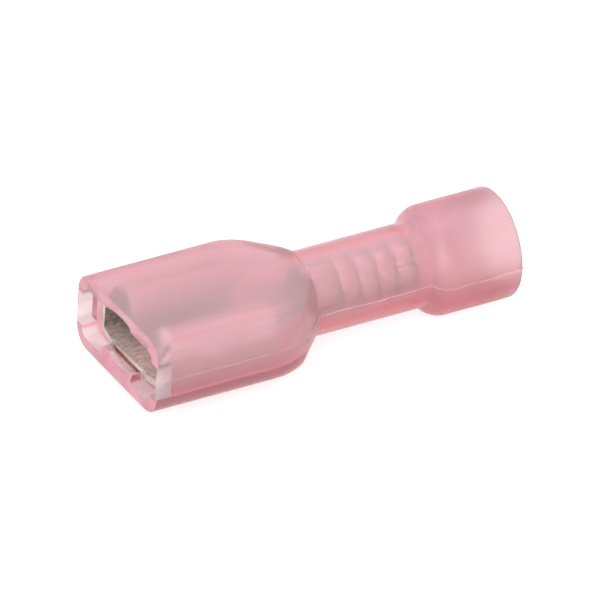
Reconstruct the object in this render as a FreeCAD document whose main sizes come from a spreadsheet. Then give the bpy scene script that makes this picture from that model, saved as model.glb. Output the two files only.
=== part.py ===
import FreeCAD, Part
import Sketcher
import os
import re

# A fully insulated female spade terminal for a 6.3 x 0.8 mm tab.
# The tab goes in at the low end of X, the wire at the high end, and Z is up.
# Lengths along X are measured from the rim of the mouth, heights from the axis of the neck.

os.makedirs("parts", exist_ok=True)
doc = FreeCAD.newDocument("spade_terminal")
sheet = doc.addObject("Spreadsheet::Sheet", "Sizes")

SIZES = {
    # The tab that the terminal takes
    "tab_width": 6.3,
    "tab_thickness": 0.8,
    # Housing, outside
    "total_length": 25.0,
    "box_height": 4.95,
    "box_corner": 1.35,
    "rim_round": 0.12,
    "shoulder_radius": 3.8,
    "shoulder_angle": 43.5,
    "shoulder_ease": 0.05,
    "neck_wall": 0.86,
    "neck_length": 7.45,
    "neck_root": 0.18,
    "bell_length": 5.5,
    "bell_diameter": 6.62,
    "bell_shoulder_radius": 1.25,
    "bell_edge_round": 0.15,
    # Housing, inside
    "side_wall": 0.7,
    "flat_wall": 0.8,
    "cavity_corner": 0.5,
    "slot_height": 2.15,
    "slot_depth": 0.97,
    "slot_skin": 0.15,
    "bell_wall": 0.72,
    "bell_depth": 4.7,
    "funnel_length": 1.0,
    "barrel_stop": 0.35,
    "stop_length": 0.35,
    "housing_play": 0.36,
    # Lead-in scoops and the stop rib in the mouth
    "rib_width": 3.4,
    "rib_height": 0.5,
    "scoop_depth": 0.28,
    "scoop_width": 3.3,
    "scoop_skin": 0.06,
    # Terminal
    "sheet_thickness": 0.42,
    "side_play": 0.12,
    "roof_play": 0.12,
    "floor_lift": 0.2,
    "floor_bend": 0.55,
    "roll_radius": 1.2,
    "lip_gap": 0.1,
    "coined_edge": 0.1,
    "tongue_width": 3.2,
    "tongue_front": 0.74,
    "floor_set_back": 0.06,
    "wall_sweep": 0.3,
    "relief_width": 0.35,
    "relief_depth": 0.15,
    "roll_front": 1.95,
    "dimple_diameter": 1.5,
    "dimple_height": 0.12,
    "web_lead": 0.25,
    "web_width": 4.8,
    "web_rise": 0.9,
    "web_lift": 0.1,
    "barrel_length": 6.85,
    "barrel_diameter": 3.2,
    "bore_clearance": 0.1,
    "seam_gap": 0.08,
    "ring_count": 4,
    "ring_margin": 1.9,
    "ring_pitch": 1.25,
    "ring_width": 0.3,
    "ring_depth": 0.1,
}

for row, (name, size) in enumerate(SIZES.items(), start=1):
    sheet.set(f"A{row}", name)
    sheet.set(f"B{row}", str(size))
    sheet.setAlias(f"B{row}", name)
doc.recompute()

# Distances that several features share, written once
METAL_INNER = "(tab_width / 2 + side_play)"
METAL_HALF_WIDTH = f"({METAL_INNER} + sheet_thickness)"
CAVITY_HALF_WIDTH = f"({METAL_HALF_WIDTH} + housing_play)"
HALF_WIDTH = f"({CAVITY_HALF_WIDTH} + side_wall)"
CAVITY_HALF_HEIGHT = "(box_height / 2 - flat_wall)"
CAVITY_FLOOR = "(flat_wall - box_height / 2)"
RIB_TOP = f"({CAVITY_FLOOR} + rib_height)"
METAL_BOTTOM = f"({CAVITY_FLOOR} + floor_lift)"
METAL_FLOOR = f"({METAL_BOTTOM} + sheet_thickness)"
METAL_TOP = f"({CAVITY_HALF_HEIGHT} - roof_play)"
LIP_HEIGHT = f"({METAL_FLOOR} + tab_thickness + lip_gap)"
BORE_RADIUS = "(barrel_diameter / 2 + bore_clearance)"
NECK_RADIUS = f"({BORE_RADIUS} + neck_wall)"
BELL_RADIUS = "(bell_diameter / 2)"
BELL_BORE_RADIUS = f"({BELL_RADIUS} - bell_wall)"
BELL_START = "(total_length - bell_length)"
SHOULDER_END = f"({BELL_START} - neck_length)"
SHOULDER_CENTRE = f"({HALF_WIDTH} - shoulder_radius)"
SLANT_HALF_WIDTH = f"({SHOULDER_CENTRE} + shoulder_radius * cos(shoulder_angle))"
SLANT_START = f"({SHOULDER_END} - ({SLANT_HALF_WIDTH} - {NECK_RADIUS}) / tan(shoulder_angle))"
SHOULDER_START = f"({SLANT_START} - shoulder_radius * sin(shoulder_angle))"
STOP_BACK = "(total_length - bell_depth - funnel_length)"
BARREL_BACK = f"({STOP_BACK} - stop_length - bore_clearance)"
BARREL_FRONT = f"({BARREL_BACK} - barrel_length)"
FLOOR_FRONT = "(tongue_front + floor_set_back)"
WALL_FRONT = f"({FLOOR_FRONT} + wall_sweep)"
RELIEF_END = f"({FLOOR_FRONT} + relief_depth)"
ROLL_END = f"({SHOULDER_START} + web_lead)"
DIGITS = 6
NEAR = 10 ** -DIGITS
FULL_TURN = 360


def bound(text):
    """The same formula with every size looked up in the sheet."""
    return re.sub(r"\b[a-z][a-z_]+\b(?!\()", r"Sizes.\g<0>", str(text))


def value(text):
    """The number that a formula gives now."""
    return float(sheet.evalExpression(str(text)))


def tie(thing, path, text):
    thing.setExpression(path, bound(text))


def datum(body, role):
    """One of the planes or axes that the body starts from."""
    return next(o for o in body.Origin.OriginFeatures if o.Role == role)


def new_body(label):
    body = doc.addObject("PartDesign::Body", label)
    body.Label = label
    tie(body, "Placement.Base.x", "-total_length / 2")
    tie(body, "Placement.Base.z", "bell_diameter / 2")
    return body


def new_sketch(body, name, role, offset="0"):
    """A sketch on one of the body's own planes, moved along that plane's normal."""
    sketch = body.newObject("Sketcher::SketchObject", name)
    sketch.AttachmentSupport = [(datum(body, role), "")]
    sketch.MapMode = "FlatFace"
    tie(sketch, "AttachmentOffset.Base.z", offset)
    return sketch


def place_point(sketch, geometry, end, across, up):
    """Holds one point of the sketch at a pair of formulas."""
    for kind, formula, axis in (("DistanceX", across, -2), ("DistanceY", up, -1)):
        if abs(value(formula)) < NEAR:
            sketch.addConstraint(Sketcher.Constraint("PointOnObject", geometry, end, axis))
            continue
        number = sketch.addConstraint(
            Sketcher.Constraint(kind, -1, 1, geometry, end, value(formula))
        )
        tie(sketch, f"Constraints[{number}]", formula)


def outline(sketch, corners):
    """A closed outline. A corner is (across, up), or (across, up, radius) where a round
    stretch with that radius leads to the next corner: above zero it turns left."""
    points = [FreeCAD.Vector(value(c[0]), value(c[1]), 0) for c in corners]
    first = sketch.GeometryCount
    for number, corner in enumerate(corners):
        here = points[number]
        there = points[(number + 1) % len(points)]
        if len(corner) == 2:
            sketch.addGeometry(Part.LineSegment(here, there), False)
            continue
        radius = value(corner[2])
        chord = there - here
        left = FreeCAD.Vector(-chord.y, chord.x, 0).normalize()
        reach = max(radius * radius - chord.Length * chord.Length / 4, 0.0) ** 0.5
        side = 1 if radius > 0 else -1
        middle = (here + there) * 0.5 + left * (side * reach)
        top = middle - left * (side * abs(radius))
        sketch.addGeometry(Part.Arc(here, top, there), False)
    starts = []
    for number, corner in enumerate(corners):
        geometry = first + number
        turned = len(corner) == 3 and value(corner[2]) < 0
        starts.append((geometry, 2 if turned else 1))
    for number, corner in enumerate(corners):
        geometry = first + number
        turned = starts[number][1] == 2
        after = starts[(number + 1) % len(corners)]
        sketch.addConstraint(
            Sketcher.Constraint("Coincident", geometry, 1 if turned else 2, after[0], after[1])
        )
        place_point(sketch, geometry, starts[number][1], corner[0], corner[1])
        if len(corner) == 3:
            radius = sketch.addConstraint(
                Sketcher.Constraint("Radius", geometry, abs(value(corner[2])))
            )
            sign = "-1 * " if turned else ""
            tie(sketch, f"Constraints[{radius}]", f"{sign}({corner[2]})")


def circle(sketch, radius, across="0"):
    """A circle on the sketch's level line, at a distance across."""
    centre = FreeCAD.Vector(value(across), 0, 0)
    ring = Part.Circle(centre, FreeCAD.Vector(0, 0, 1), value(radius))
    geometry = sketch.addGeometry(ring, False)
    place_point(sketch, geometry, 3, across, "0")
    number = sketch.addConstraint(Sketcher.Constraint("Radius", geometry, value(radius)))
    tie(sketch, f"Constraints[{number}]", radius)


def box_outline(sketch, half_width, low, high):
    outline(
        sketch,
        [
            (f"-1 * {half_width}", low),
            (half_width, low),
            (half_width, high),
            (f"-1 * {half_width}", high),
        ],
    )


def plan_outline(sketch, inset, end_half_width):
    """Seen from above: straight from the rim, rounded in, then slanting to the neck.
    Gives back where along X the outline ends."""
    half_width = f"({HALF_WIDTH} - {inset})"
    radius = f"(shoulder_radius - {inset})"
    slant_start = f"({SHOULDER_START} + {radius} * sin(shoulder_angle))"
    slant_half_width = f"({SHOULDER_CENTRE} + {radius} * cos(shoulder_angle))"
    end = f"({slant_start} + ({slant_half_width} - {end_half_width}) / tan(shoulder_angle))"
    outline(
        sketch,
        [
            ("0", f"-1 * {half_width}"),
            (SHOULDER_START, f"-1 * {half_width}", radius),
            (slant_start, f"-1 * {slant_half_width}"),
            (end, f"-1 * {end_half_width}"),
            (end, end_half_width),
            (slant_start, slant_half_width, radius),
            (SHOULDER_START, half_width),
            ("0", half_width),
        ],
    )
    return end


def checked(feature, cuts):
    """Recomputes, and stops if the feature did not add or cut as it should."""
    doc.recompute()
    before = feature.BaseFeature.Shape.Volume if feature.BaseFeature else 0
    change = feature.Shape.Volume - before
    if (change >= 0) if cuts else (change <= 0):
        raise RuntimeError(f"{feature.Name} changed the volume by {change:.3f}")
    return feature


def pad(body, name, sketch, length, both_ways=False):
    feature = body.newObject("PartDesign::Pad", name)
    feature.Profile = sketch
    if both_ways:
        feature.SideType = "Symmetric"
    tie(feature, "Length", length)
    return checked(feature, cuts=False)


def pocket(body, name, sketch, length, both_ways=False):
    """Cuts from the sketch along the plane's normal."""
    feature = body.newObject("PartDesign::Pocket", name)
    feature.Profile = sketch
    if both_ways:
        feature.SideType = "Symmetric"
    feature.Reversed = True
    tie(feature, "Length", length)
    return checked(feature, cuts=True)


def turned(body, kind, name, sketch):
    """A full turn of the sketch about the neck's axis."""
    feature = body.newObject(f"PartDesign::{kind}", name)
    feature.Profile = sketch
    feature.ReferenceAxis = (sketch, ["H_Axis"])
    feature.Angle = FULL_TURN
    return checked(feature, cuts=kind == "Groove")


def loft(body, kind, name, sections):
    feature = body.newObject(f"PartDesign::{kind}Loft", name)
    feature.Profile = sections[0]
    feature.Sections = sections[1:]
    feature.Ruled = True
    return checked(feature, cuts=kind == "Subtractive")


def edges_where(shape, wanted):
    """Names of the edges whose box, given by its low and high corner, is as wanted."""
    names = []
    for number, edge in enumerate(shape.Edges, start=1):
        ends = [vertex.Point for vertex in edge.Vertexes]
        low = FreeCAD.Vector(*(round(min(p[k] for p in ends), DIGITS) for k in range(3)))
        high = FreeCAD.Vector(*(round(max(p[k] for p in ends), DIGITS) for k in range(3)))
        if wanted(low, high):
            names.append(f"Edge{number}")
    return names


def fillet(body, name, base, edges, radius):
    feature = body.newObject("PartDesign::Fillet", name)
    feature.Base = (base, edges)
    tie(feature, "Radius", radius)
    doc.recompute()
    return feature


# The housing is one nylon moulding: a flat box that narrows to a neck and a bell.
housing = new_body("housing")

plan = new_sketch(housing, "PlanOutline", "XY_Plane")
root_radius = f"({NECK_RADIUS} - neck_root)"
plan_end = plan_outline(plan, "0", root_radius)
bar = pad(housing, "Bar", plan, "box_height", both_ways=True)
bar_edges = edges_where(bar.Shape, lambda low, high: low.z == high.z and low.x != high.x)
bar_round = fillet(housing, "BarRound", bar, bar_edges, "box_corner")
rim_edges = edges_where(bar_round.Shape, lambda low, high: low.x == high.x == 0)
fillet(housing, "RimRound", bar_round, rim_edges, "rim_round")

# Close to the neck the corners of the shoulder run out in a cone round the neck's axis.
cone_radius = f"({root_radius} + shoulder_ease)"
cone_start = f"({plan_end} - ({HALF_WIDTH} - {cone_radius}) / tan(shoulder_angle))"
cone_sketch = new_sketch(housing, "ConeSketch", "XY_Plane")
outline(
    cone_sketch,
    [(cone_start, HALF_WIDTH), (plan_end, cone_radius), (plan_end, HALF_WIDTH)],
)
turned(housing, "Groove", "Cone", cone_sketch)

# Neck and bell are one turned form, its start sunk into the shoulder.
neck_start = f"({SHOULDER_END} - neck_root)"
bell_shoulder_height = f"({BELL_RADIUS} - bell_shoulder_radius)"
bell_reach = f"sqrt(bell_shoulder_radius ^ 2 - ({NECK_RADIUS} - {bell_shoulder_height}) ^ 2)"
tail_sketch = new_sketch(housing, "TailSketch", "XY_Plane")
outline(
    tail_sketch,
    [
        (neck_start, "0"),
        ("total_length", "0"),
        ("total_length", f"{BELL_RADIUS} - bell_edge_round", "bell_edge_round"),
        ("total_length - bell_edge_round", BELL_RADIUS),
        (f"{BELL_START} + {bell_reach}", BELL_RADIUS, "bell_shoulder_radius"),
        (BELL_START, NECK_RADIUS),
        (neck_start, NECK_RADIUS),
    ],
)
turned(housing, "Revolution", "Tail", tail_sketch)

# The mouth is open through the rim. Its plan follows the outside, a side wall further in.
mouth_sketch = new_sketch(housing, "MouthSketch", "XY_Plane")
mouth_end = plan_outline(mouth_sketch, "side_wall", BORE_RADIUS)
mouth = pocket(housing, "Mouth", mouth_sketch, f"2 * {CAVITY_HALF_HEIGHT}", both_ways=True)
roof = value(CAVITY_HALF_HEIGHT)
mouth_edges = edges_where(
    mouth.Shape,
    lambda low, high: low.z == high.z and abs(abs(low.z) - roof) < NEAR and low.x != high.x,
)
fillet(housing, "MouthRound", mouth, mouth_edges, "cavity_corner")

# The way for the wire: bell, funnel, and the bore with a stop behind the barrel.
bore_start = f"({mouth_end} - neck_root)"
stop_radius = f"({BORE_RADIUS} - barrel_stop)"
wire_sketch = new_sketch(housing, "WireSketch", "XY_Plane")
outline(
    wire_sketch,
    [
        (bore_start, "0"),
        ("total_length", "0"),
        ("total_length", BELL_BORE_RADIUS),
        ("total_length - bell_depth", BELL_BORE_RADIUS),
        (STOP_BACK, stop_radius),
        (f"{STOP_BACK} - stop_length", stop_radius),
        (f"{STOP_BACK} - stop_length", BORE_RADIUS),
        (bore_start, BORE_RADIUS),
    ],
)
turned(housing, "Groove", "WireWay", wire_sketch)

# Side slots leave only a thin skin of the side walls at the rim.
slot_sketch = new_sketch(housing, "SlotSketch", "YZ_Plane")
box_outline(slot_sketch, f"({HALF_WIDTH} - slot_skin)", "-1 * slot_height / 2", "slot_height / 2")
pocket(housing, "SideSlots", slot_sketch, "slot_depth")

# A rib on the mouth's floor stops the tongue of the terminal.
rib_sketch = new_sketch(housing, "RibSketch", "YZ_Plane")
box_outline(rib_sketch, "(rib_width / 2)", f"({CAVITY_FLOOR} - flat_wall / 2)", RIB_TOP)
rib_length = "(tongue_front - bore_clearance / 2)"
pad(housing, "StopRib", rib_sketch, rib_length)


SCOOP_HALF_WIDTH = "(scoop_width / 2)"
SCOOP_CHORD = f"({CAVITY_FLOOR} + rib_height + scoop_skin)"
RIM_DEPTH = "(rib_height + flat_wall)"
BACK_DEPTH = "(rib_height + scoop_skin)"
RIM_REACH = f"({SCOOP_HALF_WIDTH} + scoop_depth)"
RIM_RADIUS = f"(({RIM_REACH} ^ 2 + {RIM_DEPTH} ^ 2) / (2 * {RIM_DEPTH}))"
BACK_RADIUS = f"(({SCOOP_HALF_WIDTH} ^ 2 + {BACK_DEPTH} ^ 2) / (2 * {BACK_DEPTH}))"


def bow(name, side, offset, reach, radius):
    """A bow over a level chord, open upwards on the floor (side 1) or downwards on the
    roof (side -1)."""
    sketch = new_sketch(housing, name, "YZ_Plane", offset)
    chord = f"({side} * {SCOOP_CHORD})"
    outline(
        sketch,
        [(f"-1 * {side} * {reach}", chord, radius), (f"{side} * {reach}", chord)],
    )
    return sketch


def scoop(name, side):
    """A lead-in for the tab, deep at the rim and shallow behind it."""
    rim = bow(name + "Rim", side, "0", RIM_REACH, RIM_RADIUS)
    back = bow(name + "Back", side, "scoop_depth", SCOOP_HALF_WIDTH, BACK_RADIUS)
    loft(housing, "Subtractive", name, [rim, back])


scoop("RoofScoop", -1)
scoop("FloorScoop", 1)
groove = bow("FloorGrooveSketch", 1, "0", SCOOP_HALF_WIDTH, BACK_RADIUS)
pocket(housing, "FloorGroove", groove, rib_length)

# The terminal is one stamping, rolled over the tab in front and round the wire behind.
terminal = new_body("terminal")

section = new_sketch(terminal, "ReceptacleSection", "YZ_Plane", FLOOR_FRONT)
roll_height = f"({METAL_TOP} - roll_radius)"
roll_inner = "(roll_radius - sheet_thickness)"
bend_inner = "(floor_bend - sheet_thickness)"
lip_outside = f"({METAL_HALF_WIDTH} - 2 * roll_radius)"
outline(
    section,
    [
        ("0", METAL_BOTTOM),
        (f"{METAL_HALF_WIDTH} - floor_bend", METAL_BOTTOM, "floor_bend"),
        (METAL_HALF_WIDTH, f"{METAL_BOTTOM} + floor_bend"),
        (METAL_HALF_WIDTH, roll_height, "roll_radius"),
        (f"{METAL_HALF_WIDTH} - roll_radius", METAL_TOP, "roll_radius"),
        (lip_outside, roll_height),
        (lip_outside, LIP_HEIGHT),
        (f"{lip_outside} + sheet_thickness", LIP_HEIGHT),
        (f"{lip_outside} + sheet_thickness", roll_height, f"-1 * {roll_inner}"),
        (f"{METAL_HALF_WIDTH} - roll_radius", f"{METAL_TOP} - sheet_thickness",
         f"-1 * {roll_inner}"),
        (f"{METAL_HALF_WIDTH} - sheet_thickness", roll_height),
        (f"{METAL_HALF_WIDTH} - sheet_thickness", f"{METAL_BOTTOM} + floor_bend",
         f"-1 * {bend_inner}"),
        (f"{METAL_HALF_WIDTH} - floor_bend", METAL_FLOOR),
        ("0", METAL_FLOOR),
    ],
)
half_receptacle = pad(terminal, "HalfReceptacle", section, f"{ROLL_END} - {FLOOR_FRONT}")
receptacle = terminal.newObject("PartDesign::Mirrored", "Receptacle")
receptacle.Originals = [half_receptacle]
receptacle.MirrorPlane = (datum(terminal, "XZ_Plane"), [""])
terminal.Tip = receptacle
doc.recompute()

# In front the rolls are trimmed back, so that only the side walls guide the tab.
trim_sketch = new_sketch(terminal, "RollTrimSketch", "YZ_Plane", FLOOR_FRONT)
trim_top = f"({METAL_TOP} + sheet_thickness)"
box_outline(trim_sketch, METAL_INNER, f"({METAL_FLOOR} + {bend_inner})", trim_top)
pocket(terminal, "RollTrim", trim_sketch, f"roll_front - {FLOOR_FRONT}")

before_floor = f"({FLOOR_FRONT} - sheet_thickness)"
beside_walls = f"({METAL_HALF_WIDTH} + sheet_thickness)"
slant_sketch = new_sketch(terminal, "WallSlantSketch", "XZ_Plane")
outline(
    slant_sketch,
    [
        (before_floor, roll_height),
        (WALL_FRONT, roll_height),
        ("roll_front", trim_top),
        (before_floor, trim_top),
    ],
)
pocket(terminal, "WallSlant", slant_sketch, f"2 * {beside_walls}", both_ways=True)

# The floor's front edge sweeps back to the walls, with a small relief beside the tongue.
sweep_sketch = new_sketch(terminal, "FrontSweepSketch", "XY_Plane")
half_tongue = "(tongue_width / 2)"
for side in (-1, 1):
    outline(
        sweep_sketch,
        [
            (across, f"({side} * {out})")
            for across, out in (
                (before_floor, half_tongue),
                (RELIEF_END, half_tongue),
                (RELIEF_END, f"({half_tongue} + relief_width)"),
                (FLOOR_FRONT, f"({half_tongue} + relief_width)"),
                (WALL_FRONT, METAL_HALF_WIDTH),
                (WALL_FRONT, beside_walls),
                (before_floor, beside_walls),
            )
        ],
    )
pocket(terminal, "FrontSweep", sweep_sketch, "2 * box_height", both_ways=True)

# The tongue reaches the rib. Its upper edge is coined to lead the tab in.
tongue_sketch = new_sketch(terminal, "TongueSketch", "YZ_Plane", "tongue_front")
box_outline(tongue_sketch, half_tongue, METAL_BOTTOM, METAL_FLOOR)
tongue_length = f"({RELIEF_END} - tongue_front + sheet_thickness)"
tongue = pad(terminal, "Tongue", tongue_sketch, tongue_length)
tip_height = value(METAL_FLOOR)
tip_place = value("tongue_front")
tip_edges = edges_where(
    tongue.Shape,
    lambda low, high: abs(low.z - tip_height) < NEAR
    and abs(high.x - tip_place) < NEAR
    and low.y != high.y,
)
coined = terminal.newObject("PartDesign::Chamfer", "CoinedTongue")
coined.Base = (tongue, tip_edges)
tie(coined, "Size", "coined_edge")
doc.recompute()

# A dimple in the floor snaps into the hole of the tab.
dimple_place = f"(({WALL_FRONT} + {ROLL_END}) / 2)"
dimple_sketch = new_sketch(terminal, "DimpleSketch", "XY_Plane", METAL_FLOOR)
circle(dimple_sketch, "dimple_diameter / 2", dimple_place)
pad(terminal, "Dimple", dimple_sketch, "dimple_height")
hollow_sketch = new_sketch(terminal, "DimpleHollowSketch", "XY_Plane", METAL_BOTTOM)
circle(hollow_sketch, "dimple_diameter / 2 - dimple_height", dimple_place)
pocket(terminal, "DimpleHollow", hollow_sketch, "dimple_height")

# The web is a channel that closes from the floor towards the barrel.
half_web = "(web_width / 2)"
web_top = f"({METAL_BOTTOM} + web_lift + web_rise)"
barrel_radius = "(barrel_diameter / 2)"
barrel_bore = "(barrel_diameter / 2 - sheet_thickness)"
web_end_top = "(-1 * sheet_thickness / 2)"
web_sections = []
for name, offset, half_out, half_in, top, radius_out, radius_in in (
    (
        "WebFront",
        f"{ROLL_END} - sheet_thickness",
        half_web,
        f"({half_web} - sheet_thickness)",
        web_top,
        f"(({half_web} ^ 2 + web_rise ^ 2) / (2 * web_rise))",
        f"((({half_web} - sheet_thickness) ^ 2 + (web_rise - sheet_thickness) ^ 2)"
        " / (2 * (web_rise - sheet_thickness)))",
    ),
    (
        "WebBack",
        BARREL_FRONT,
        f"sqrt({barrel_radius} ^ 2 - {web_end_top} ^ 2)",
        f"sqrt({barrel_bore} ^ 2 - {web_end_top} ^ 2)",
        web_end_top,
        barrel_radius,
        barrel_bore,
    ),
):
    channel = new_sketch(terminal, name, "YZ_Plane", offset)
    outline(
        channel,
        [
            (f"-1 * {half_out}", top, radius_out),
            (half_out, top),
            (half_in, top, f"-1 * {radius_in}"),
            (f"-1 * {half_in}", top),
        ],
    )
    web_sections.append(channel)
loft(terminal, "Additive", "Web", web_sections)

# The barrel is rolled round the wire: a butted seam on top, and rings pressed in outside.
barrel_sketch = new_sketch(terminal, "BarrelSketch", "YZ_Plane", BARREL_FRONT)
circle(barrel_sketch, barrel_radius)
circle(barrel_sketch, barrel_bore)
pad(terminal, "Barrel", barrel_sketch, "barrel_length")

seam_sketch = new_sketch(terminal, "SeamSketch", "YZ_Plane", BARREL_FRONT)
box_outline(seam_sketch, "(seam_gap / 2)", "0", barrel_radius + " + sheet_thickness")
pocket(terminal, "Seam", seam_sketch, "barrel_length")

ring_start = f"({BARREL_FRONT} + ring_margin)"
ring_sketch = new_sketch(terminal, "RingSketch", "XY_Plane")
outline(
    ring_sketch,
    [
        (f"{ring_start} - ring_width / 2", f"{barrel_radius} + ring_depth"),
        (ring_start, f"{barrel_radius} - ring_depth"),
        (f"{ring_start} + ring_width / 2", f"{barrel_radius} + ring_depth"),
    ],
)
ring = turned(terminal, "Groove", "Ring", ring_sketch)
rings = terminal.newObject("PartDesign::LinearPattern", "Rings")
rings.Originals = [ring]
rings.Direction = (datum(terminal, "X_Axis"), [""])
tie(rings, "Length", "(ring_count - 1) * ring_pitch")
tie(rings, "Occurrences", "ring_count")
terminal.Tip = rings
doc.recompute()

for thing in doc.Objects:
    if "Invalid" in thing.State or "Error" in thing.State:
        raise RuntimeError(f"{thing.Name} is {thing.State}")
for body in (housing, terminal):
    if body.Shape.isNull() or not body.Shape.isValid() or len(body.Shape.Solids) != 1:
        raise RuntimeError(f"{body.Label} is not one sound solid")
    body.Shape.exportStep(f"parts/{body.Label}.step")
    print(body.Label, round(body.Shape.Volume, 3), "cubic mm")
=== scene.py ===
import math

import bmesh
import bpy
from mathutils import Matrix, Vector, noise as chance
from mathutils.bvhtree import BVHTree


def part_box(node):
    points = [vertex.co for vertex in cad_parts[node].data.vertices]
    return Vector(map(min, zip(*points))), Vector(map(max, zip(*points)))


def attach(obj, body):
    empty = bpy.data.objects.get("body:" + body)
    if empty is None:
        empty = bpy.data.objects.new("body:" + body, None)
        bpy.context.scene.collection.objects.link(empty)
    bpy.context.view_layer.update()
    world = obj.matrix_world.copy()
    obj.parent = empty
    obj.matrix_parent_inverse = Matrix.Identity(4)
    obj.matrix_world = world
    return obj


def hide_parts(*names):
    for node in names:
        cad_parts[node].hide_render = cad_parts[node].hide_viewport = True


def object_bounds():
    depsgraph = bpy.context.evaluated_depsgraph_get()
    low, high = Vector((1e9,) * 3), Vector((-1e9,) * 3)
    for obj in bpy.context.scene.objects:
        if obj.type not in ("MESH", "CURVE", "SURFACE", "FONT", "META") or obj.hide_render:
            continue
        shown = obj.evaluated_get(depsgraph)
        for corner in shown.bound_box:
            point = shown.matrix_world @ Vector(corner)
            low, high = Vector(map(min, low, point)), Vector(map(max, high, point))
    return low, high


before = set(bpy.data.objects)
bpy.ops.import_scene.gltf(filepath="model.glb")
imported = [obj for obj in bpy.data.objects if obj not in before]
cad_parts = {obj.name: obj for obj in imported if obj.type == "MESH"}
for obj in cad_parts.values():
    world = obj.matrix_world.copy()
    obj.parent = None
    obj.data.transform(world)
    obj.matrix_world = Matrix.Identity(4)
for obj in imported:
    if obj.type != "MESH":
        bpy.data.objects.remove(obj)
cad_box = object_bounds()

# Housing: one injection moulding in clear pink nylon, with a flat mouth, a neck and a wire bell.
# The two halves of the mould meet at mid height and leave a thin ridge of flash all round,
# a little ragged on neck and bell. The terminal is pushed in from the mouth.
MOUTH = cad_box[0].x
REAR = cad_box[1].x
AXIS_HEIGHT = (cad_box[0].z + cad_box[1].z) / 2
RIDGE_HALF_WIDTH = 0.00003
RIDGE_HEIGHT = 0.00003
RIDGE_STEP = 0.00015
RAGGED_FROM = REAR - 0.013
RAGGED_HEIGHT = 0.00007
RAGGED_WANDER = 0.00012
RAGGED_LEAST = 0.1
RAGGED_MEAN = 0.3
RAGGED_SWING = 1.2
RAGGED_PACE = Vector((2600, 300, 0))
WANDER_PACE = Vector((700, 90, 0))
WANDER_FROM = Vector((0, 0, 5))
NUB_HEIGHT = 0.00007
NUB_REACH = 0.0008
SLOT_DEPTH = 0.00097
SLOT_HALF_HEIGHT = 0.001075
SLOT_SKIN = 0.00015
PALE_REACH = 0.0018
MILKY_FROM = 0.006
ROUGHER_FROM = 0.0072
ROUGHER_TO = 0.009
# Height over which the nylon's painted shade runs, from pink and dark below to mauve on top.
NYLON_SHADE_HEIGHT = 0.0067
SLACK = 1.1
MERGE = 0.000001
SHARP = math.radians(28)


def merged_copy(node):
    """The node's triangles joined into one skin."""
    mesh = bmesh.new()
    mesh.from_mesh(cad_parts[node].data)
    bmesh.ops.remove_doubles(mesh, verts=mesh.verts, dist=MERGE)
    return mesh


def finished_piece(name, mesh, *materials):
    """Makes an object of the skin, soft over its rounds and crisp at its corners."""
    data = bpy.data.meshes.new(name)
    for face in mesh.faces:
        face.smooth = True
    mesh.to_mesh(data)
    mesh.free()
    data.set_sharp_from_angle(angle=SHARP)
    for material in materials:
        data.materials.append(material)
    piece = bpy.data.objects.new(name, data)
    bpy.context.scene.collection.objects.link(piece)
    even = piece.modifiers.new("even_normals", "WEIGHTED_NORMAL")
    even.keep_sharp = True
    even.weight = 100
    return piece


def new_material(name, **settings):
    """A material and its shader, with settings such as Coat_Weight put on the shader."""
    material = bpy.data.materials.new(name)
    material.use_nodes = True
    nodes, links = material.node_tree.nodes, material.node_tree.links
    shader = nodes["Principled BSDF"]
    for socket, value in settings.items():
        shader.inputs[socket.replace("_", " ")].default_value = value
    return material, nodes, links, shader


def noise(nodes, links, scale, detail=3.0, stretch=(1.0, 1.0, 1.0)):
    """A noise pattern in the object's own coordinates, in metres."""
    place = nodes.new("ShaderNodeTexCoord")
    turn = nodes.new("ShaderNodeMapping")
    turn.inputs["Scale"].default_value = stretch
    pattern = nodes.new("ShaderNodeTexNoise")
    pattern.inputs["Scale"].default_value = scale
    pattern.inputs["Detail"].default_value = detail
    links.new(place.outputs["Object"], turn.inputs["Vector"])
    links.new(turn.outputs["Vector"], pattern.inputs["Vector"])
    return pattern.outputs["Fac"]


def reach(nodes, links, axis, start, end):
    """How far a point lies between start and end along an axis of the part, from 0 to 1."""
    place = nodes.new("ShaderNodeTexCoord")
    split = nodes.new("ShaderNodeSeparateXYZ")
    links.new(place.outputs["Object"], split.inputs["Vector"])
    along = nodes.new("ShaderNodeMapRange")
    along.inputs["From Min"].default_value = start
    along.inputs["From Max"].default_value = end
    links.new(split.outputs[axis], along.inputs["Value"])
    return along.outputs["Result"]


def ramp(nodes, links, source, *stops):
    """Turns a pattern into a colour, or into a grey where a stop is one number."""
    steps = nodes.new("ShaderNodeValToRGB")
    elements = steps.color_ramp.elements
    while len(elements) < len(stops):
        elements.new(0.5)
    for element, (place, tone) in zip(elements, stops):
        colour = tone if isinstance(tone, tuple) else (tone,) * 3
        element.position = place
        element.color = (*colour, 1.0)
    links.new(source, steps.inputs["Fac"])
    return steps.outputs["Color"]


def product(nodes, links, first, second):
    """One colour times another. A mix node keeps its colour sockets behind those for numbers."""
    both = nodes.new("ShaderNodeMix")
    both.data_type = "RGBA"
    both.blend_type = "MULTIPLY"
    both.inputs["Factor"].default_value = 1.0
    colours = [socket for socket in both.inputs if socket.type == "RGBA"]
    links.new(first, colours[0])
    links.new(second, colours[1])
    return next(socket for socket in both.outputs if socket.type == "RGBA")


def combined(nodes, links, operation, first, second):
    """A math node that works on two links or numbers."""
    node = nodes.new("ShaderNodeMath")
    node.operation = operation
    for socket, value in zip(node.inputs, (first, second)):
        if isinstance(value, float):
            socket.default_value = value
        else:
            links.new(value, socket)
    return node.outputs["Value"]


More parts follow.
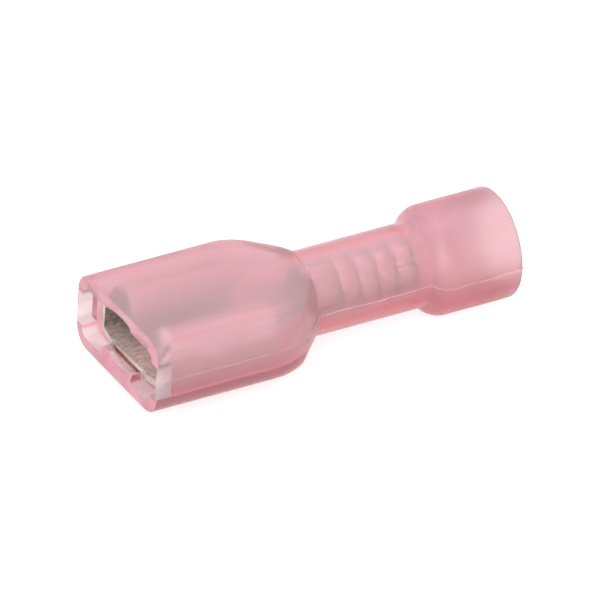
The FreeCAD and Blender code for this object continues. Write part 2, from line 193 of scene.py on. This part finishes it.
def pink_nylon():
    """Pale at the skin and pink in its depth, milkier and rougher on the wire bell, with painted
    shade by height: pinker and darker low down, mauve on top.
    """
    material, nodes, links, shader = new_material(
        "clear_pink_nylon",
        IOR=1.22,
        Transmission_Weight=0.79,
        Coat_Weight=0.6,
        Coat_Roughness=0.35,
        Coat_Tint=(0.975, 0.885, 0.94, 1),
    )
    cloud = noise(nodes, links, 420.0, 4.0, (0.6, 1.0, 1.0))
    skin = ramp(nodes, links, cloud, (0.3, (0.905, 0.835, 0.845)), (0.7, (0.945, 0.915, 0.925)))
    milky = ramp(
        nodes,
        links,
        reach(nodes, links, "X", MILKY_FROM, REAR),
        (0.0, (1.0, 1.0, 1.0)),
        (0.25, (0.97, 0.92, 0.93)),
        (0.5, (0.96, 0.92, 0.93)),
        (0.85, (0.83, 0.77, 0.75)),
    )
    # Painted shade by height: pinker and darker low on the part, paler in the middle and mauve
    # at the top.
    nylon_shade_by_height = ramp(
        nodes,
        links,
        reach(nodes, links, "Z", 0.0, NYLON_SHADE_HEIGHT),
        (0.2, (1.0, 0.82, 0.84)),
        (0.34, (0.84, 0.64, 0.68)),
        (0.52, (0.92, 0.91, 0.90)),
        (0.65, (0.97, 1.0, 1.0)),
        (0.82, (0.97, 0.99, 1.0)),
        (1.0, (0.93, 0.90, 0.97)),
    )
    shade = product(nodes, links, milky, nylon_shade_by_height)
    links.new(product(nodes, links, skin, shade), shader.inputs["Base Color"])
    haze = noise(nodes, links, 2600.0, 5.0)
    satin = ramp(nodes, links, haze, (0.3, 0.3), (0.75, 0.38))
    bell = reach(nodes, links, "X", ROUGHER_FROM, ROUGHER_TO)
    added = combined(nodes, links, "MULTIPLY", bell, 0.28)
    links.new(combined(nodes, links, "ADD", added, satin), shader.inputs["Roughness"])
    scuff = nodes.new("ShaderNodeBump")
    scuff.inputs["Strength"].default_value = 0.25
    scuff.inputs["Distance"].default_value = 0.00001
    links.new(haze, scuff.inputs["Height"])
    links.new(scuff.outputs["Normal"], shader.inputs["Normal"])
    depth = nodes.new("ShaderNodeVolumeAbsorption")
    depth.inputs["Color"].default_value = (0.96, 0.60, 0.60, 1)
    depth.inputs["Density"].default_value = 1000.0
    links.new(depth.outputs["Volume"], nodes["Material Output"].inputs["Volume"])
    return material


def pale_flash():
    """The thin ridge scatters more light than the wall behind it."""
    material, nodes, links, shader = new_material(
        "pale_flash", Roughness=0.35, IOR=1.25, Transmission_Weight=0.55
    )
    grain = noise(nodes, links, 3500.0)
    tint = ramp(nodes, links, grain, (0.35, (0.84, 0.58, 0.60)), (0.65, (0.93, 0.78, 0.78)))
    links.new(tint, shader.inputs["Base Color"])
    return material


def thin_nylon():
    """The skin left over the side slots is so thin that it is almost clear."""
    material, nodes, links, shader = new_material(
        "thin_nylon", Roughness=0.3, IOR=1.1, Transmission_Weight=0.65
    )
    haze = noise(nodes, links, 1400.0, 4.0, (0.3, 1.0, 1.0))
    tint = ramp(nodes, links, haze, (0.35, (0.78, 0.64, 0.64)), (0.65, (0.86, 0.75, 0.75)))
    links.new(tint, shader.inputs["Base Color"])
    return material


def end_nylon():
    """The wall seen from its end, at the rim: the depth of the wall shows its full colour."""
    material, nodes, links, shader = new_material(
        "end_nylon",
        Roughness=0.4,
        Subsurface_Weight=0.3,
        Subsurface_Radius=(1.0, 0.4, 0.5),
        Subsurface_Scale=0.0003,
    )
    cloud = noise(nodes, links, 700.0)
    tint = ramp(nodes, links, cloud, (0.3, (0.60, 0.24, 0.30)), (0.7, (0.74, 0.35, 0.41)))
    links.new(tint, shader.inputs["Base Color"])
    return material


def whole(mesh):
    return mesh.verts[:] + mesh.edges[:] + mesh.faces[:]


def cut_level(mesh, height):
    """Cuts the whole mesh at a height above or below the axis."""
    level = (0, 0, AXIS_HEIGHT + height)
    bmesh.ops.bisect_plane(
        mesh, geom=whole(mesh), plane_co=level, plane_no=(0, 0, 1), dist=MERGE
    )


def cut_across(mesh, parts, distance):
    """Cuts the given parts at a distance from the rim."""
    station = (MOUTH + distance, 0, 0)
    cut = bmesh.ops.bisect_plane(
        mesh, geom=parts, plane_co=station, plane_no=(1, 0, 0), dist=MERGE
    )
    return cut["geom"]


def along_ridge(mesh):
    """The faces of the narrow band on which the flash stands, outside only."""
    skin = BVHTree.FromBMesh(mesh)
    band = []
    for face in mesh.faces:
        middle = face.calc_center_median()
        if abs(middle.z - AXIS_HEIGHT) > RIDGE_HALF_WIDTH or abs(face.normal.x) > 0.97:
            continue
        if skin.ray_cast(middle + face.normal * MERGE * 10, face.normal)[0] is None:
            band.append(face)
    return band


def raise_flash(band):
    """Lifts the middle of the band: an even ridge on the box, a ragged one with a nub behind."""
    ridge = {v for f in band for v in f.verts}
    outward = {v: v.normal.copy() for v in ridge}
    for vert in ridge:
        ragged = chance.noise(vert.co * RAGGED_PACE)
        wander = chance.noise(vert.co * WANDER_PACE + WANDER_FROM)
        rough_part = vert.co.x > RAGGED_FROM
        if abs(vert.co.z - AXIS_HEIGHT) < RIDGE_HALF_WIDTH / 2:
            height = RIDGE_HEIGHT
            if rough_part:
                height = RAGGED_HEIGHT * max(RAGGED_LEAST, RAGGED_MEAN + RAGGED_SWING * ragged)
            if vert.co.y < 0:
                height += NUB_HEIGHT * max(0.0, 1 - (REAR - vert.co.x) / NUB_REACH)
            vert.co += outward[vert] * height
        if rough_part:
            vert.co.z += RAGGED_WANDER * wander


shell = merged_copy("housing")
for height in (-SLOT_HALF_HEIGHT, -RIDGE_HALF_WIDTH, 0.0, RIDGE_HALF_WIDTH, SLOT_HALF_HEIGHT):
    cut_level(shell, height)
cut_across(shell, whole(shell), SLOT_DEPTH)
shell.normal_update()
band = along_ridge(shell)
for number in range(1, int((REAR - MOUTH) / RIDGE_STEP)):
    band = [f for f in band if f.is_valid]
    parts = set(band) | {e for f in band for e in f.edges} | {v for f in band for v in f.verts}
    made = cut_across(shell, list(parts), number * RIDGE_STEP)
    band = [f for f in made if isinstance(f, bmesh.types.BMFace)]
shell.normal_update()
raise_flash(band)
FLASH, THIN, END = 1, 2, 3
for face in shell.faces:
    middle = face.calc_center_median()
    depth = middle.x - MOUTH
    at_slot = abs(middle.z - AXIS_HEIGHT) < SLOT_HALF_HEIGHT and depth < SLOT_DEPTH
    if at_slot and abs(middle.y) > cad_box[1].y - SLOT_SKIN * SLACK:
        face.material_index = THIN
    elif face.normal.x < -0.5 and depth < SLOT_DEPTH * SLACK:
        face.material_index = END
    elif face.normal.z > 0.3 and middle.z < AXIS_HEIGHT and depth < PALE_REACH:
        face.material_index = THIN
for face in band:
    face.material_index = FLASH
housing = finished_piece(
    "housing_shell", shell, pink_nylon(), pale_flash(), thin_nylon(), end_nylon()
)
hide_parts("housing")
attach(housing, "root")

# Terminal: one strip of brass, stamped, rolled over the tab slot and round the wire, and tinned.
# The cut front edge of its tongue shows the bare brass, and inside the slot it carries painted
# shade.
# It is pushed into the housing up to the rib in the mouth.
METAL_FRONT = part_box("terminal")[0].x
BARREL_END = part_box("terminal")[1].x
METAL_LENGTH = BARREL_END - METAL_FRONT
# Heights between which painted shade darkens the metal below its top.
METAL_LOW = 0.0017
METAL_HIGH = 0.0049
TONGUE_EDGE = METAL_FRONT + 0.0001
# How far into the mouth the painted shade on walls and floor reaches.
INNER_REACH = 0.0038
INNER_FROM = 0.0031
FLOOR_BELOW = 0.0026
RING_COUNT = 4
RING_FROM_END = 0.0012
RING_PITCH = 0.00125
RING_HALF_WIDTH = 0.00022
# Painted shade for the pressed ring grooves and the barrel's end.
SHADED_BARREL_END = 0.0005
BRIGHT = (1.0, 1.0, 1.0)
PAINTED_GROOVE_SHADE = (0.58, 0.55, 0.53)


def tinned_brass():
    """Satin tin, with painted shade in the pressed rings and at the barrel's end, and painted
    shade by height: darker low on the walls and darkest by the middle, full tin colour at the
    top.
    """
    material, nodes, links, shader = new_material("tinned_brass", Metallic=0.45)
    cloud = noise(nodes, links, 3200.0, 6.0, (0.5, 1.0, 1.0))
    tin = ramp(nodes, links, cloud, (0.3, (0.89, 0.881, 0.85)), (0.7, (0.99, 0.981, 0.95)))
    # Painted shade along the part: dark bands at the pressed rings and at the barrel's end.
    stops = [(0.0, BRIGHT)]
    for number in range(RING_COUNT):
        middle = 1 - (RING_FROM_END + number * RING_PITCH) / METAL_LENGTH
        half = RING_HALF_WIDTH / METAL_LENGTH
        stops += [(middle - half, BRIGHT), (middle, PAINTED_GROOVE_SHADE), (middle + half, BRIGHT)]
    stops.sort()
    stops += [(1 - SHADED_BARREL_END / METAL_LENGTH, BRIGHT), (1.0, PAINTED_GROOVE_SHADE)]
    groove_and_end_shade = ramp(nodes, links, reach(nodes, links, "X", METAL_FRONT, BARREL_END), *stops)
    # Painted shade by height: darker low on the walls and by the middle, full tin colour at the
    # top.
    metal_shade_by_height = ramp(
        nodes,
        links,
        reach(nodes, links, "Z", METAL_LOW, METAL_HIGH),
        (0.0, (0.86, 0.83, 0.80)),
        (0.42, (0.74, 0.70, 0.68)),
        (0.58, (0.80, 0.76, 0.73)),
        (0.76, BRIGHT),
    )
    tin_with_shade = product(nodes, links, tin, groove_and_end_shade)
    links.new(product(nodes, links, tin_with_shade, metal_shade_by_height), shader.inputs["Base Color"])
    rolled = noise(nodes, links, 5000.0, 3.0, (0.05, 1.0, 1.0))
    satin = ramp(nodes, links, rolled, (0.3, 0.28), (0.7, 0.42))
    links.new(satin, shader.inputs["Roughness"])
    return material


def cut_brass():
    """Bare brass where the strip was cut, dark and uneven."""
    material, nodes, links, shader = new_material("cut_brass_edge", Metallic=0.6, Roughness=0.45)
    cloud = noise(nodes, links, 4000.0, 4.0)
    tint = ramp(nodes, links, cloud, (0.35, (0.22, 0.09, 0.045)), (0.65, (0.42, 0.21, 0.11)))
    links.new(tint, shader.inputs["Base Color"])
    return material


def shaded_inner_brass(name, dark, pale):
    """Walls and floor of the slot keep grain from the rolling, darkened with painted shade for
    the shadow inside the slot.
    """
    material, nodes, links, shader = new_material(name, Metallic=0.5, Roughness=0.42)
    grain = noise(nodes, links, 5200.0, 6.0, (0.6, 1.0, 1.0))
    tint = ramp(nodes, links, grain, (0.3, dark), (0.7, pale))
    links.new(tint, shader.inputs["Base Color"])
    return material


metal = merged_copy("terminal")
cut_across(metal, whole(metal), INNER_REACH)
metal.normal_update()
# The cut edge is bare brass. The inner walls and floor carry painted shade.
CUT_EDGE, SHADED_INNER_WALL, SHADED_INNER_FLOOR = 1, 2, 3
terminal = finished_piece(
    "terminal_stamping",
    metal,
    tinned_brass(),
    cut_brass(),
    shaded_inner_brass("inner_wall_painted_shade", (0.20, 0.17, 0.15), (0.46, 0.42, 0.38)),
    shaded_inner_brass("inner_floor_painted_shade", (0.46, 0.42, 0.37), (0.78, 0.72, 0.65)),
)
# Faces inside the mouth take the painted shade: the walls darkest, the floor less so.
for polygon in terminal.data.polygons:
    middle, normal = polygon.center, polygon.normal
    in_mouth = middle.x < MOUTH + INNER_REACH
    if normal.x < -0.9 and middle.x < TONGUE_EDGE:
        polygon.material_index = CUT_EDGE
    elif normal.y * middle.y < 0 and abs(normal.y) > 0.6:
        if in_mouth and abs(middle.y) > INNER_FROM:
            polygon.material_index = SHADED_INNER_WALL
    elif in_mouth and normal.z > 0.5 and middle.z < FLOOR_BELOW:
        polygon.material_index = SHADED_INNER_FLOOR
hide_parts("terminal")
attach(terminal, "root")

# Photograph set-up: a white card under the part and a white sky, which gives the even light.
# Both are brighter for the camera and for light mirrored or let through by the part, so that
# metal and nylon show the white ground too.
CARD_SIZE = 0.6
CARD_GAP = 0.00002
CARD_GLOW = 0.68
SKY_STRENGTH = 0.78


def seen_by_camera(nodes, links):
    """One for light on its way to the camera, straight, mirrored or let through by the part."""
    rays = nodes.new("ShaderNodeLightPath").outputs
    straight, mirrored = rays["Is Camera Ray"], rays["Is Glossy Ray"]
    either = combined(nodes, links, "MAXIMUM", straight, mirrored)
    return combined(nodes, links, "MAXIMUM", either, rays["Is Transmission Ray"])


card = bmesh.new()
bmesh.ops.create_grid(card, x_segments=1, y_segments=1, size=CARD_SIZE)
floor_data = bpy.data.meshes.new("floor")
card.to_mesh(floor_data)
card.free()
floor = bpy.data.objects.new("floor", floor_data)
floor.location.z = cad_box[0].z - CARD_GAP
bpy.context.scene.collection.objects.link(floor)
white, nodes, links, shader = new_material(
    "white_card", Base_Color=(0.7, 0.7, 0.7, 1), Roughness=0.9, Specular_IOR_Level=0.0
)
glow = nodes.new("ShaderNodeEmission")
strength = combined(nodes, links, "MULTIPLY", seen_by_camera(nodes, links), CARD_GLOW)
links.new(strength, glow.inputs["Strength"])
both = nodes.new("ShaderNodeAddShader")
links.new(shader.outputs["BSDF"], both.inputs[0])
links.new(glow.outputs["Emission"], both.inputs[1])
links.new(both.outputs["Shader"], nodes["Material Output"].inputs["Surface"])
floor_data.materials.append(white)

world = bpy.data.worlds.new("studio")
world.use_nodes = True
nodes, links = world.node_tree.nodes, world.node_tree.links
backdrop = nodes["Background"]
backdrop.inputs["Color"].default_value = (1.0, 1.0, 1.0, 1.0)
strength = combined(nodes, links, "MAXIMUM", seen_by_camera(nodes, links), SKY_STRENGTH)
links.new(strength, backdrop.inputs["Strength"])
bpy.context.scene.world = world

# Lamps: two soft square ones, one above and a little behind the part, one on the camera's side.
LAMP_DISTANCE = 0.25


def soft_light(name, direction, size, strength):
    """A square lamp that looks at the middle of the part."""
    lamp = bpy.data.lights.new(name, "AREA")
    lamp.size = size
    lamp.energy = strength
    holder = bpy.data.objects.new(name, lamp)
    way = Vector(direction).normalized()
    holder.location = way * LAMP_DISTANCE + Vector((0, 0, AXIS_HEIGHT))
    holder.rotation_euler = way.to_track_quat("Z", "Y").to_euler()
    bpy.context.scene.collection.objects.link(holder)


soft_light("top_light", (0.15, 0.25, 1.0), 0.22, 0.235)
soft_light("left_light", (-0.6, -0.8, 0.75), 0.16, 0.275)

# Camera: without perspective, because the long lens of the photograph shows none. The middle of
# the part sits beside the middle of the picture, as in the photograph.
AZIMUTH = math.radians(-30.49)
ELEVATION = math.radians(33.25)
ROLL = math.radians(-2.71)
PIXELS_PER_METRE = 17349.0
PICTURE = 600.0
MIDDLE_AT = (306.2, 292.8)
CAMERA_DISTANCE = 0.3
back = Vector(
    (
        math.sin(AZIMUTH) * math.cos(ELEVATION),
        -math.cos(AZIMUTH) * math.cos(ELEVATION),
        math.sin(ELEVATION),
    )
)
level = Vector((0, 0, 1)).cross(back).normalized()
upright = back.cross(level)
right = level * math.cos(ROLL) - upright * math.sin(ROLL)
up = level * math.sin(ROLL) + upright * math.cos(ROLL)
lens = bpy.data.cameras.new("camera")
lens.type = "ORTHO"
lens.ortho_scale = PICTURE / PIXELS_PER_METRE
lens.clip_start = 0.01
lens.clip_end = 5.0
camera = bpy.data.objects.new("camera", lens)
aim = Vector((0, 0, AXIS_HEIGHT))
aim -= right * ((MIDDLE_AT[0] - PICTURE / 2) / PIXELS_PER_METRE)
aim -= up * ((PICTURE / 2 - MIDDLE_AT[1]) / PIXELS_PER_METRE)
turned = Matrix((right, up, back)).transposed().to_4x4()
camera.matrix_world = Matrix.Translation(aim + back * CAMERA_DISTANCE) @ turned
bpy.context.scene.collection.objects.link(camera)
bpy.context.scene.camera = camera
bpy.context.scene.view_settings.view_transform = "Standard"
